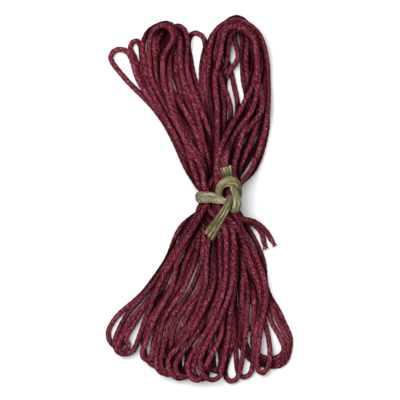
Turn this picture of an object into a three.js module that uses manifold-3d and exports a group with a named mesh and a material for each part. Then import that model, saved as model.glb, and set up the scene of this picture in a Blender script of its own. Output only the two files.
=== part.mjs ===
// Skein of macrame cord, tied at the waist with a strip of raffia.
//
// The skein lies on a flat surface at z = 0, as it is laid down to be looked at
// from above. X runs across it, Y runs along it towards its two upper lobes,
// and Z is up. The origin is under the middle of the tie.
//
// One cord is wound in long turns and gathered at the waist, so that it fans out
// into loops above and below. The two ends of the cord come out of the waist.

import * as THREE from "three";
import { mergeVertices } from "three/addons/utils/BufferGeometryUtils.js";
import Module from "manifold-3d";

const wasm = await Module();
wasm.setup();

// Driving dimensions in millimetres.
const CORD = 2.6; // the cord across
const WAIST = { halfWidth: 9.7, height: 16.4, base: 1, power: 2.6 }; // the gathered cord
const WAIST_SIDES = 40;
const WAIST_MIDDLE = WAIST.base + WAIST.height / 2;
const CORE = { inset: 0.6, half: 7 }; // the solid middle of the waist, along the skein
const BAND = { width: 5.5, thickness: 0.7, middleY: 0.3 }; // the strip around the waist
const STRIP = { thickness: 0.9, pleat: 0.16, finest: 0.02 }; // the strip in the knot and its two tails
const CLEARANCE = 0.35; // between two pieces
const LAYERS = [4, 6, 7, 7, 7, 6, 3]; // cords in each layer of the waist, lowest first
const LINE_TOLERANCE = 0.35; // how far a strand's straight stretches may stray from its line
const SIMPLIFY = 0.16; // the finest detail of the joined strands that is kept
const SET_OFF = 0.004; // how far the corners of the joined strands are set off
const ROOM = CLEARANCE + SIMPLIFY; // around a piece that the skein is cut clear of
const WELD = 0.001; // corners closer than this are one

// How full the layers of the waist are, and how far the cords have spread at a distance from it.
const GATHER = { fill: 0.93, away: 4.2, spread: 1.13 };

// How a loop is laid: the step along it, where it leaves the waist and reaches the surface, how
// close a strand beds on the one below, and how often its line is evened out.
const LAY = { step: 2, near: 4, far: 26, free: 20, press: 0.8, settle: 8 };
const ROUND = Math.SQRT1_2; // an eighth of a turn round a bend

// A strand's section: the flat share of its crest, and how far down its sides run.
const STRAND = { crest: 0.55, skirt: 50 };

// The plies of a loose end.
const TWIST = { plies: 3, lay: 9, depth: 0.16 };

// Where the rows of the two tables are measured: distances from the waist along the skein.
const STATIONS = [15, 30, 45, 60, 70];

// One row for each loop, in the order in which the loops lie, the lowest first. Out is the place
// across of the left leg at each station, out from the waist. Bend is the leftmost point of the
// bend, its tip and its rightmost point, each as x and y. Back is the right leg, back to the
// waist. A station that a leg doesn't reach is null.
const UPPER = [
  { out: [-14, -21.5, -27, -32, -33], bend: [-33.5, 74, -27, 83, -20, 74],
    back: [-20, -19, -14, -9, -5.5] },
  { out: [-10, -14, -20, -26, -27], bend: [-27.3, 73, -22.5, 80, -17.8, 74],
    back: [-17.5, -16, -9.5, -5.5, -3] },
  { out: [2, 1, 1, -2.5, -2.5], bend: [-2.5, 76, 8, 86, 20.5, 72],
    back: [20.5, 22, 23.5, 21, 12.6] },
  { out: [1, -0.5, -0.8, 0.5, 0.5], bend: [1, 77, 9, 85, 17.8, 76],
    back: [18, 20, 24.6, 23.5, 18.6] },
  { out: [-12.5, -20, -29.5, -38.7, -41.5], bend: [-43.8, 75, -41, 79, -38.7, 74.3],
    back: [-38.4, -37.2, -30, -20.8, -13.5] },
  { out: [-16, -22.6, -32.1, -46.6, null], bend: [-53.9, 70.2, -49.6, 74.8, -43.2, 69],
    back: [null, -40.5, -31, -21.5, -15] },
  { out: [-2, -3.2, -6.6, -11.5, -13.8], bend: [-14.8, 77, -11.3, 82.8, -6.5, 76.5],
    back: [-7.6, -8.5, -6.7, -3.9, -2.5] },
  { out: [-9, -13.5, -22, -29.2, -29.5], bend: [-30.5, 77, -24.5, 84.5, -19.9, 79],
    back: [-21, -20.8, -17.2, -11.5, -5] },
  { out: [0, -1.5, -4.3, -6.7, -6.3], bend: [-5.7, 73, 7, 87, 23, 70],
    back: [23, 22.7, 22.8, 17.5, 7.5] },
  { out: [5, 7, 9.8, 7.3, 4.3], bend: [3.2, 77, 8.5, 84.3, 16.5, 76],
    back: [17.8, 17.5, 20.8, 17.5, 11] },
  { out: [-13, -20.8, -28.7, -35.3, -36.8], bend: [-37.8, 76, -26, 87.5, -18.9, 76],
    back: [-18.8, -17.5, -11.4, -7.8, -3.9] },
  { out: [-7, -10, -17, -26.3, -26.5], bend: [-24.5, 78, -20, 85.8, -15.5, 79],
    back: [-15.6, -14.3, -8.6, -2.6, -0.5] },
  { out: [-0.5, 0, 0, -0.8, 1.2], bend: [0.6, 78, 9.3, 90.4, 17, 78],
    back: [18.5, 20, 22, 12.5, 6] },
  { out: [2.5, -1, -2.6, -4.4, -4.3], bend: [-4.3, 74, 9, 88.6, 25, 66],
    back: [null, 25.2, 25, 22.6, 17] },
  { out: [-9.5, -15.5, -23.5, -30.3, -31.2], bend: [-32.3, 79, -25.5, 86.4, -21.2, 80],
    back: [-24, -24, -21.6, -15.2, -6.8] },
  { out: [3, 3.3, 3.5, 4, 9.9], bend: [8.3, 80, 9.5, 84.5, 12, 78],
    back: [12.3, 12.6, 14.8, 9.8, 7] },
  { out: [1.5, 2.3, 2.8, 1.5, 4.7], bend: [5.2, 76, 9.5, 84, 14.8, 78],
    back: [14.2, 14.8, 16.2, 11.8, 8] },
  { out: [3.5, 4.8, 6.3, 1.2, -1.2], bend: [-0.2, 77, 8.5, 87, 21.2, 68],
    back: [null, 20.4, 17.5, 7.3, 3] },
  { out: [-12.3, -17, -25.5, -33.4, -34.4], bend: [-34.5, 77, -28.3, 86, -22.4, 80.5],
    back: [-27, -27.3, -23.4, -17.3, -8.6] },
  { out: [-1, -0.5, -0.5, -1.8, 1], bend: [2.3, 79, 9, 85.3, 19.6, 70],
    back: [null, 18.7, 11.7, 3.4, -0.3] },
];

const LOWER = [
  { out: [-10, -16, -23.8, -33.6, -36.2], bend: [-37.2, 75, -30, 84.5, -21.5, 77],
    back: [-20.3, -16.4, -8.5, -5, -3] },
  { out: [-19, -25.4, -35.5, -51, null], bend: [-55.1, 68, -50.5, 74.5, -46.8, 71],
    back: [-46.8, -42.8, -29.5, -21.5, -13] },
  { out: [-11, -20.5, -28.5, -42.8, -48.2], bend: [-49.8, 73, -47, 76.5, -44.8, 73.8],
    back: [-45.9, -40.2, -30.5, -22, -12.8] },
  { out: [5, 8, 11, 11.3, 11], bend: [11.5, 74, 29.5, 84.3, 36.3, 75],
    back: [36, 31.9, 24.4, 22.4, 15] },
  { out: [8, 11.2, 12, 13, 13.2], bend: [13.5, 72, 28.5, 82.3, 35, 74],
    back: [34.2, 29.3, 23.5, 19, 12] },
  { out: [10, 15.5, 18, 17.8, 17.4], bend: [17.6, 74, 26.5, 80.3, 33, 75.5],
    back: [31.2, 26.2, 22.2, 17.2, 9.8] },
  { out: [-12, -19.8, -23.3, -31.3, -35.2], bend: [-37.9, 77, -35.5, 81.1, -33, 77],
    back: [-31.7, -29.2, -20.6, -15.9, -9.5] },
  { out: [3.8, 5.8, 8, 8.7, 8.8], bend: [9.6, 84.5, 13, 89.9, 17.5, 84.5],
    back: [18.6, 20.5, 20, 13.3, 8] },
  { out: [-8.8, -10.8, -16.8, -26.9, -29], bend: [-31.1, 80.5, -27, 88, -23.5, 84],
    back: [-23, -19.8, -9.6, -6.3, -6] },
  { out: [-7.3, -8, -13.1, -23, -26.3], bend: [-28.3, 81, -25.3, 88.2, -21.5, 84],
    back: [-19, -12.2, -6.7, -5.7, -4] },
  { out: [2, 3, 2, -1, -3], bend: [-6.8, 81, -2, 86.2, 2, 82],
    back: [3.3, 5.2, 7, 6, 5] },
  { out: [3.8, 5.8, 6.8, 7.6, 8], bend: [3.3, 87, 6.4, 91.9, 10.7, 87.2],
    back: [13.6, 14.6, 14.8, 11.2, 6.8] },
  { out: [-1.5, -0.8, -2.3, -9.3, -16.3], bend: [-24.7, 81.5, -19.5, 90.2, -13.5, 84],
    back: [-14, -9.5, -4.2, -2.6, -1.5] },
  { out: [0, 0.8, 0.7, -5.2, -11.7], bend: [-21.4, 84, -17, 89.6, -13, 85],
    back: [-8, -4, 1.5, 3, 2.5] },
  { out: [1, 1.4, 1.2, -4, -6], bend: [-12.4, 84, -8.5, 90.9, -5, 86],
    back: [-3, 1, 4, 4.5, 3.5] },
  { out: [3, 4, 3, -2.3, -7.8], bend: [-15.3, 84, -11, 91.2, -7, 86],
    back: [0.9, 2.4, 6, 6.5, 5.5] },
  { out: [6.8, 7.8, 6.6, 1, -4.6], bend: [-9, 83, -3, 90.8, 2.2, 85],
    back: [5.2, 5.8, 8, 9, 7] },
  { out: [-14.3, -23.8, -33.8, -46.7, -51.2], bend: [-51.8, 73.5, -47.5, 78, -40.6, 73],
    back: [-39.6, -36.2, -30.3, -22.3, -12.4] },
  { out: [11.8, 19.3, 23.8, 22.4, 20.8], bend: [19.5, 82, 21.8, 87.7, 26.1, 79],
    back: [25.4, 23, 20.5, 15.7, 9.5] },
];

// The two ends of the cord, as points that each passes through.
const END_ABOVE = [
  [6.9, 1.4, 13.9], [7.3, -3, 13.7], [8.6, -7, 12.9], [10.8, -10, 11.4], [14.2, -10.8, 9.2],
  [17.5, -11.6, 7.2], [20.2, -13.1, 5.4], [22.6, -15.1, 3.8], [24.6, -17.4, 2.5], [26.3, -20.1, 1.7],
  [28.1, -23.2, 1.45],
];
const END_BELOW = [
  [8.4, 1.4, 9.2], [8.45, -3, 9], [9.3, -7, 8.3], [11, -10.1, 7], [14, -11.5, 5],
  [16.9, -12.7, 3.4], [19.3, -14.4, 2.3], [21.2, -16.5, 1.6], [22.3, -19, 1.45], [23, -21.7, 1.45],
  [23.8, -24.6, 1.45],
];

// The raffia strip where it is knotted over the waist: the middle of the strip and its width.
const ARCH = [
  { x: 0.8, y: 0.6, z: 18.3, width: 3.4 }, { x: 0.3, y: 3.6, z: 19.0, width: 3.6 },
  { x: 1.7, y: 7.0, z: 19.8, width: 4.6 }, { x: 4.9, y: 8.8, z: 20.2, width: 4.8 },
  { x: 8.0, y: 8.2, z: 19.8, width: 4.6 }, { x: 10.2, y: 5.8, z: 18.0, width: 3.8 },
  { x: 11.2, y: 2.8, z: 15.2, width: 3.4 }, { x: 10.5, y: 0.4, z: 11.6, width: 3.4 },
];
const LIMB = [
  { x: 7.3, y: 7.4, z: 19.0, width: 3.8 }, { x: 7.9, y: 4.0, z: 20.0, width: 4.1 },
  { x: 8.3, y: 0.0, z: 20.2, width: 4.2 }, { x: 8.6, y: -3.8, z: 19.8, width: 4.3 },
  { x: 8.5, y: -6.4, z: 19.3, width: 4.1 }, { x: 8.3, y: -7.1, z: 18.5, width: 3.7 },
  { x: 8.1, y: -6.2, z: 17.8, width: 3.3 }, { x: 7.9, y: -3.6, z: 17.4, width: 3.2 },
  { x: 7.7, y: -1.4, z: 17.0, width: 3.2 },
];
const TAIL_UP = [
  { x: 7.4, y: 1.8, z: 18.0, width: 3.0 }, { x: 6.7, y: 5.4, z: 18.4, width: 3.2 },
  { x: 5.4, y: 9.4, z: 18.0, width: 3.9 }, { x: 4.6, y: 12.6, z: 17.1, width: 4.8 },
  { x: 3.7, y: 16.4, z: 16.6, width: 6.3 },
];
const TAIL_DOWN = [
  { x: 6.9, y: 2.6, z: 18.7, width: 2.8 }, { x: 4.9, y: -1.8, z: 18.9, width: 3.2 },
  { x: 2.7, y: -6.2, z: 18.4, width: 3.9 }, { x: 0.1, y: -10.8, z: 15.8, width: 4.9 },
  { x: -2.4, y: -15.2, z: 13.3, width: 5.7 }, { x: -4.7, y: -19.4, z: 11.2, width: 6.3 },
];

// Colours and finish.
const matt = (name, color, roughness) => (
  new THREE.MeshStandardMaterial({ name, color, roughness, metalness: 0 })
);
const BURGUNDY = matt("cord", 0x7d2b40, 0.9);
const RAFFIA = matt("raffia", 0xa9a57a, 0.7);

// A smooth line through hand-placed points, in steps of about the given length.
function smoothLine(points, step) {
  const curve = new THREE.CatmullRomCurve3(points, false, "centripetal");
  return curve.getSpacedPoints(Math.max(2, Math.round(curve.getLength() / step)));
}

function smoothstep(from, to, value) {
  const t = Math.min(Math.max((value - from) / (to - from), 0), 1);
  return t * t * (3 - 2 * t);
}

// The half width of the gathered waist at a height above its middle.
function waistHalfWidth(height) {
  const share = Math.abs(height) / (WAIST.height / 2);
  return WAIST.halfWidth * Math.max(1 - share ** WAIST.power, 0) ** (1 / WAIST.power);
}

// The places of the cords where they pass through the waist, layer by layer.
function waistLayers() {
  const spacing = (WAIST.height - CORD) / (LAYERS.length - 1);
  return LAYERS.map((count, layer) => {
    const z = WAIST.base + CORD / 2 + layer * spacing;
    const reach = waistHalfWidth((z - WAIST_MIDDLE) * GATHER.fill) - CORD / 2;
    return Array.from({ length: count }, (_, i) => ({ x: -reach + (2 * reach * i) / (count - 1), z }));
  });
}

// Gives each leg its place in the waist: the lowest loops take the lowest layers, and within a
// layer the legs keep their order across.
function placeLegs(loops, layers) {
  const legs = loops.flatMap((loop) => [loop.left, loop.right]);
  for (const layer of layers) {
    const group = legs.splice(0, layer.length).sort((a, b) => a.stations[0] - b.stations[0]);
    group.forEach((leg, i) => { leg.slot = layer[i]; });
  }
}

// Reads a row of a table as a loop.
function readLoop({ out, bend, back }, side) {
  const [leftX, leftY, tipX, tipY, rightX, rightY] = bend;
  return {
    side,
    left: { stations: out },
    right: { stations: back.toReversed() },
    bend: { leftX, leftY, tipX, tipY, rightX, rightY },
  };
}

// The line of a loop seen from above.
function planOf({ side, left, right, bend }) {
  const leg = ({ slot, stations }, limit) => {
    const points = [
      new THREE.Vector3(slot.x, -side, 0),
      new THREE.Vector3(slot.x * GATHER.spread, side * GATHER.away, 0),
    ];
    stations.forEach((x, i) => {
      const away = STATIONS[i];
      if (x !== null && away < limit - LAY.step) points.push(new THREE.Vector3(x, side * away, 0));
    });
    return points;
  };
  const shoulder = (x, y) => [
    new THREE.Vector3(x, side * y, 0),
    new THREE.Vector3(bend.tipX + (x - bend.tipX) * ROUND, side * (y + (bend.tipY - y) * ROUND), 0),
  ];
  return [
    ...leg(left, bend.leftY),
    ...shoulder(bend.leftX, bend.leftY),
    new THREE.Vector3(bend.tipX, side * bend.tipY, 0),
    ...shoulder(bend.rightX, bend.rightY).reverse(),
    ...leg(right, bend.rightY).reverse(),
  ];
}

// Lays one loop on the surface and on the loops laid before it. It comes down from its places in
// the waist, rests on what it crosses, and bridges short dips.
function layLoop(loop, laid) {
  const line = smoothLine(planOf(loop), LAY.step);
  const half = line.length / 2;
  const reach = CORD * LAY.press;
  const rest = CORD / 2;
  const floor = line.map((point, i) => {
    const slot = i < half ? loop.left.slot : loop.right.slot;
    return rest + (slot.z - rest) * (1 - smoothstep(LAY.near, LAY.far, Math.abs(point.y)));
  });
  const heights = line.map((point, i) => {
    let height = floor[i];
    for (const other of laid) {
      const apart = Math.hypot(point.x - other.x, point.y - other.y);
      if (apart < reach) height = Math.max(height, other.z + Math.sqrt(reach ** 2 - apart ** 2));
    }
    return floor[i] + (height - floor[i]) * smoothstep(LAY.near, LAY.free, Math.abs(point.y));
  });
  for (let round = 0; round < LAY.settle; round += 1) {
    for (let i = 1; i < heights.length - 1; i += 1) {
      heights[i] = Math.max(heights[i], (heights[i - 1] + heights[i + 1]) / 2);
    }
  }
  line.forEach((point, i) => { point.z = heights[i]; });
  return line;
}

// The loops of one half of the skein, as lines in space.
function layHalf(table, side, layers) {
  const loops = table.map((row) => readLoop(row, side));
  placeLegs(loops, layers);
  const laid = [];
  return loops.map((loop) => {
    const line = layLoop(loop, laid);
    laid.push(...line);
    return line;
  });
}

// Keeps only the points of a line that its shape needs.
function thin(line, tolerance) {
  const [first, last] = [line[0], line[line.length - 1]];
  const chord = new THREE.Line3(first, last);
  const foot = new THREE.Vector3();
  let farthest = 0;
  let at = 0;
  line.forEach((point, i) => {
    const distance = chord.closestPointToPoint(point, true, foot).distanceTo(point);
    if (distance > farthest) [farthest, at] = [distance, i];
  });
  if (farthest < tolerance) return [first, last];
  return [...thin(line.slice(0, at + 1), tolerance).slice(0, -1), ...thin(line.slice(at), tolerance)];
}

// A line whose sections stand upright, or turn by an angle at each point as they follow it.
class UprightLine extends THREE.Curve {
  constructor(points, turn = 0) {
    super();
    this.points = points;
    this.turn = turn;
  }

  getPointAt(u, target = new THREE.Vector3()) {
    return target.copy(this.points[Math.round(u * (this.points.length - 1))]);
  }

  computeFrenetFrames(steps) {
    const frames = { tangents: [], normals: [], binormals: [] };
    const up = new THREE.Vector3(0, 0, 1);
    for (let i = 0; i <= steps; i += 1) {
      const before = this.points[Math.max(i - 1, 0)];
      const after = this.points[Math.min(i + 1, steps)];
      const tangent = after.clone().sub(before).normalize();
      const side = tangent.clone().cross(up).normalize();
      const normal = this.turn ? side.clone().cross(tangent).normalize() : up;
      const angle = this.turn * i;
      frames.tangents.push(tangent);
      frames.normals.push(normal.clone().applyAxisAngle(tangent, angle));
      frames.binormals.push(side.clone().applyAxisAngle(tangent, angle));
    }
    return frames;
  }
}

// A round or lobed section, as a closed outline.
function section(sides, radiusAt) {
  const points = [];
  for (let i = 0; i < sides; i += 1) {
    const angle = (i / sides) * 2 * Math.PI;
    const radius = radiusAt(angle);
    points.push(new THREE.Vector2(Math.cos(angle) * radius, Math.sin(angle) * radius));
  }
  return new THREE.Shape(points);
}

function tube(points, outline, turn = 0) {
  const extrudePath = new UprightLine(points, turn);
  return new THREE.ExtrudeGeometry(outline, { steps: points.length - 1, bevelEnabled: false, extrudePath });
}

// Turns a closed geometry into a solid that can be joined and cut.
function solid(geometry) {
  const bare = geometry.clone();
  for (const name of ["normal", "uv"]) bare.deleteAttribute(name);
  const merged = mergeVertices(bare, WELD);
  return new wasm.Manifold(new wasm.Mesh({
    numProp: 3,
    vertProperties: Float32Array.from(merged.attributes.position.array),
    triVerts: Uint32Array.from(merged.index.array),
  }));
}

function join(solids) {
  return solids.reduce((whole, piece) => whole.add(piece));
}

// Drops the small pockets and crumbs that joining many strands leaves.
function largest(whole) {
  const bodies = whole.decompose();
  return bodies.reduce((best, body) => (body.volume() > best.volume() ? body : best));
}

// Sets every point above the surface off by a few thousandths of a millimetre, so that no corner
// lies exactly on another strand's edge.
function setOff(geometry, amount) {
  const { position } = geometry.attributes;
  const shift = () => (THREE.MathUtils.seededRandom() * 2 - 1) * amount;
  for (let i = 0; i < position.count; i += 1) {
    const [x, y, z] = [position.getX(i), position.getY(i), position.getZ(i)];
    if (z > amount) position.setXYZ(i, x + shift(), y + shift(), z + shift());
  }
  geometry.computeVertexNormals();
  return geometry;
}

// One clean body: its flat faces merged, and nothing finer than a tolerance.
function cleaned(whole, tolerance) {
  const body = largest(solid(geometryOf(whole.asOriginal().simplify(tolerance))));
  return setOff(geometryOf(body), SET_OFF);
}

function geometryOf(whole) {
  const { vertProperties, triVerts } = whole.getMesh();
  const geometry = new THREE.BufferGeometry();
  geometry.setAttribute("position", new THREE.BufferAttribute(Float32Array.from(vertProperties), 3));
  geometry.setIndex(new THREE.BufferAttribute(Uint32Array.from(triVerts), 1));
  geometry.computeVertexNormals();
  return geometry;
}

// The outline of the gathered waist, grown by a distance and cut level at a lowest height.
function waistOutline(grow, lowest = -Infinity) {
  const points = [];
  for (let i = 0; i < WAIST_SIDES; i += 1) {
    const angle = ((i + 0.5) / WAIST_SIDES) * 2 * Math.PI;
    const [cos, sin] = [Math.cos(angle), Math.sin(angle)];
    const bend = 2 / WAIST.power;
    points.push(new THREE.Vector2(
      Math.sign(cos) * Math.abs(cos) ** bend * (WAIST.halfWidth + grow),
      Math.max(WAIST_MIDDLE + Math.sign(sin) * Math.abs(sin) ** bend * (WAIST.height / 2 + grow), lowest),
    ));
  }
  return points;
}

// A prism along Y of an outline drawn in X and Z.
function alongY(shape, from, to) {
  const geometry = new THREE.ExtrudeGeometry(shape, { depth: to - from, bevelEnabled: false });
  return geometry.rotateX(Math.PI / 2).translate(0, to, 0);
}

// A strand of the skein: rounded above and straight down to the surface below, so that the
// strands under it and the small gaps between them close up into one body.
function strand(line) {
  const radius = CORD / 2;
  const crest = radius * STRAND.crest;
  const outline = new THREE.Shape([
    new THREE.Vector2(-STRAND.skirt, radius), new THREE.Vector2(0, radius),
    new THREE.Vector2(radius, crest), new THREE.Vector2(radius, -crest),
    new THREE.Vector2(0, -radius), new THREE.Vector2(-STRAND.skirt, -radius),
  ]);
  const geometry = tube(thin(line, LINE_TOLERANCE), outline);
  const position = geometry.attributes.position;
  for (let i = 0; i < position.count; i += 1) position.setZ(i, Math.max(position.getZ(i), 0));
  return solid(geometry);
}

// The room around the waist that the band lies in.
function bandRoom() {
  const half = BAND.width / 2 + ROOM;
  const around = new THREE.Shape().absarc(0, WAIST_MIDDLE, 2 * WAIST.height, 0, 2 * Math.PI);
  around.holes.push(new THREE.Path(waistOutline(CLEARANCE - ROOM)));
  return solid(alongY(around, BAND.middleY - half, BAND.middleY + half));
}

// The room that a loose end lies in.
function endRoom(points) {
  const sides = 8;
  const radius = (CORD / 2 + ROOM) / Math.cos(Math.PI / sides);
  const line = smoothLine(points, LAY.step);
  line.unshift(line[0].clone().add(new THREE.Vector3(0, ROOM, 0)));
  return solid(tube(line, section(sides, () => radius)));
}

// The skein: its strands joined in one body, drawn in to the waist's outline under the tie, and
// cut clear of the tie and of the loose ends.
function makeSkein(strands, ends) {
  const core = solid(alongY(new THREE.Shape(waistOutline(-CORE.inset)), -CORE.half, CORE.half));
  const rooms = [bandRoom(), ...ends.map(endRoom), ...STRIPS.map((row) => solid(strip(row, ROOM)))];
  return cleaned(join([...strands.map(strand), core]).subtract(join(rooms)), SIMPLIFY);
}

// How a strip's width lies: square to its run and to the way out from the waist, square to its
// run on a level, or one way through a fold.
const FOLD_WAY = new THREE.Vector3(-0.88, 0, 0.48);
const acrossWaist = (at, tangent) => tangent.clone().cross(new THREE.Vector3(at.x, 0, at.z - WAIST_MIDDLE));
const acrossLevel = (at, tangent) => tangent.clone().cross(new THREE.Vector3(0, 0, 1));
const acrossFold = (at, tangent) => (
  FOLD_WAY.clone().addScaledVector(tangent, -FOLD_WAY.dot(tangent))
);

// The strips of the knot.
const STRIPS = [
  { rows: ARCH, pleats: 3, across: acrossWaist },
  { rows: LIMB, pleats: 3, across: acrossFold },
  { rows: TAIL_UP, pleats: 4, across: acrossLevel },
  { rows: TAIL_DOWN, pleats: 4, across: acrossLevel },
];

// A strip of raffia: a flat bar bent along its rows, with pleats raised along its upper face, or
// grown by a distance and plain, as room for it.
function strip({ rows, pleats, across }, grow = 0) {
  const runs = rows.map(({ x, y, z }) => new THREE.Vector3(x, y, z));
  const middle = new THREE.CatmullRomCurve3(runs, false, "centripetal");
  const spans = rows.map(({ width }, i) => new THREE.Vector3(i, width + 2 * grow, 0));
  const widths = new THREE.CatmullRomCurve3(spans);
  const cuts = grow ? 1 : pleats * 2;
  const depth = STRIP.thickness + 2 * grow;
  const geometry = new THREE.BoxGeometry(2, 1, depth, cuts, rows.length * 2, 1);
  const position = geometry.attributes.position;
  for (let i = 0; i < position.count; i += 1) {
    const along = Math.min(Math.max(position.getY(i) + 0.5, 0), 1);
    const at = middle.getPoint(along);
    const tangent = middle.getTangent(along);
    const side = across(at, tangent).normalize();
    const face = side.clone().cross(tangent).normalize();
    const u = position.getX(i);
    const pleat = grow ? 0 : STRIP.pleat * Math.cos(u * pleats * Math.PI);
    at.addScaledVector(side, (u * widths.getPoint(along).y) / 2);
    at.addScaledVector(face, position.getZ(i) + pleat);
    if (grow && along % 1 === 0) at.addScaledVector(tangent, along ? grow : -grow);
    position.setXYZ(i, at.x, at.y, at.z);
  }
  return geometry;
}

// The tie: a band around the waist, knotted on top, with two cut tails.
function makeTie() {
  const outer = new THREE.Shape(waistOutline(CLEARANCE + BAND.thickness, 0));
  outer.holes.push(new THREE.Path(waistOutline(CLEARANCE, BAND.thickness)));
  const band = alongY(outer, BAND.middleY - BAND.width / 2, BAND.middleY + BAND.width / 2);
  const knot = STRIPS.map((row) => strip(row));
  return cleaned(join([band, ...knot].map(solid)), STRIP.finest);
}

// A loose end: three plies laid up round each other.
function makeEnd(points) {
  const step = CORD / 2;
  const swell = TWIST.depth / 2;
  const reach = (angle) => CORD / 2 - swell + swell * Math.cos(TWIST.plies * angle);
  const lobed = section(4 * TWIST.plies, reach);
  return geometryOf(solid(tube(smoothLine(points, step), lobed, (step / TWIST.lay) * 2 * Math.PI)));
}

function addMesh(group, name, geometry, material) {
  const mesh = new THREE.Mesh(geometry, material);
  mesh.name = name;
  group.add(mesh);
}

const layers = waistLayers();
const endLayers = [5, 3]; // the layers of the waist whose last places the two ends take
const lowerLayers = layers.map((layer, i) => (endLayers.includes(i) ? layer.slice(0, -1) : layer));
const strands = [...layHalf(UPPER, 1, layers), ...layHalf(LOWER, -1, lowerLayers)];

// A loose end is given as plain rows of x, y and z.
const ends = [END_ABOVE, END_BELOW].map((rows) => rows.map(([x, y, z]) => new THREE.Vector3(x, y, z)));

const part = new THREE.Group();
addMesh(part, "skein", makeSkein(strands, ends), BURGUNDY);
addMesh(part, "tie", makeTie(), RAFFIA);
addMesh(part, "cord_end_a", makeEnd(ends[0]), BURGUNDY);
addMesh(part, "cord_end_b", makeEnd(ends[1]), BURGUNDY);

export default part;
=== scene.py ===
"""Skein of macrame cord, tied at the waist with raffia, drawn over its CAD frame."""

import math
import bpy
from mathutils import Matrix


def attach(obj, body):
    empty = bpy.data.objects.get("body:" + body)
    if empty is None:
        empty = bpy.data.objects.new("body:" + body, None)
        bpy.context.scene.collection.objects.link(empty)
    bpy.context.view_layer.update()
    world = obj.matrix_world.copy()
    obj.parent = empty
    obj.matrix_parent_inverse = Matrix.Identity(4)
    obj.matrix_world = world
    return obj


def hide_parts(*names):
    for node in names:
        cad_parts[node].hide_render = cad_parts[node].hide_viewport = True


bl_info = {
    "name": "Skein of macrame cord",
    "version": (1, 0, 0),
    "blender": (4, 5, 0),
    "location": "View3D > Sidebar > Skein",
    "description": "A hand-wound skein of twisted cord with a knotted raffia tie",
    "category": "Add Mesh",
}

import bpy
import numpy as np

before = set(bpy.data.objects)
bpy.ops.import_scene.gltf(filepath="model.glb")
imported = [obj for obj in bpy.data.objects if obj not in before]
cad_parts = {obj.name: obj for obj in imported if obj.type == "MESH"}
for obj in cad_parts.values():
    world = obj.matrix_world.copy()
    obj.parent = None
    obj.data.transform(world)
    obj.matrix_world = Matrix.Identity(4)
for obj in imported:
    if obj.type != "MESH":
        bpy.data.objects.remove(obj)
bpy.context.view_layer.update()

MM = 0.001
BODY = "root"

# Sizes shared with the solids, in millimetres.
CORD = 2.6
WAIST = {"half_width": 9.7, "height": 16.4, "base": 1.0, "power": 2.6}
WAIST_MIDDLE = WAIST["base"] + WAIST["height"] / 2
BAND = {"width": 5.5, "middle_y": 0.3}
RAFFIA_THICKNESS = 0.9
CLEARANCE = 0.35
LAYERS = (4, 6, 7, 7, 7, 6, 3)
END_LAYERS = (5, 3)
STATIONS = (15, 30, 45, 60, 70)
LAY = {"step": 2.0, "near": 4.0, "far": 26.0, "free": 20.0, "press": 0.8, "settle": 8}
GATHER = {"fill": 0.93, "away": 4.2, "spread": 1.13}

# Sizes of the visual model alone, in millimetres, with counts of steps and points and plain
# shares. A strand of cord wavers a little in plan past the waist, a stray fibre stands off it,
# and the plies of a cut end spread.
PLIES = 3
WAVER = {"size": 0.16, "steps": 12, "none": 6, "full": 20, "settle": 12, "blend": 6}
FIBRE = {"radius": 0.045, "seat": 0.9, "length": (1.0, 2.6), "lift": (0.1, 0.55), "lowest": 0.1}
FRAY = {"back": 5, "root": 0.6, "reach": 1.2, "spread": 2.2, "varies": 0.5, "lay": 5.0, "lowest": 0.75}
TAPER_RUN = 2.5
STRIP = {"step": 0.42, "points": 33, "edge": 5, "thinnest": 0.02, "underside": 0.5, "other_side": 3}
PLEAT_WAVES = ((1, 0.5), (1.7, 0.3), (2.9, 0.2))
FOLD_WAY = np.array((-0.88, 0, 0.48))
# The band's rows go round the waist from this angle in steps of the other, in degrees.
BAND_FROM = 62
BAND_TURN = 6

# How fast the shade between the cords deepens, over a depth in millimetres.
SHADE = {"depth": 4.0, "power": 0.4}
# How far along the cord the pattern starts, so that no two strands show the same stretch.
PATTERN_SHIFT = 40
SEEDS = {"loops": 5, "ends": 11, "tie": 23}
TINY = 1e-6

# The stage. The floor and the camera are in millimetres. A light is its name, its place and its
# size in metres, and its power in watts. The camera frames a width of view at the focus height,
# and its clip limits are in metres.
FLOOR_HALF = 1500.0
LIGHTS = (
    ("key", (-0.3, 0.3, 0.95), 0.8, 14.5),
    ("fill", (0.5, -0.3, 0.9), 0.9, 2.5),
)
SKY = 0.36
CAMERA = {"x": -9, "y": -1, "height": 1200.0, "focus": 6, "view": 200.0, "sensor": 36}
CAMERA_CLIP = (0.01, 20)

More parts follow.
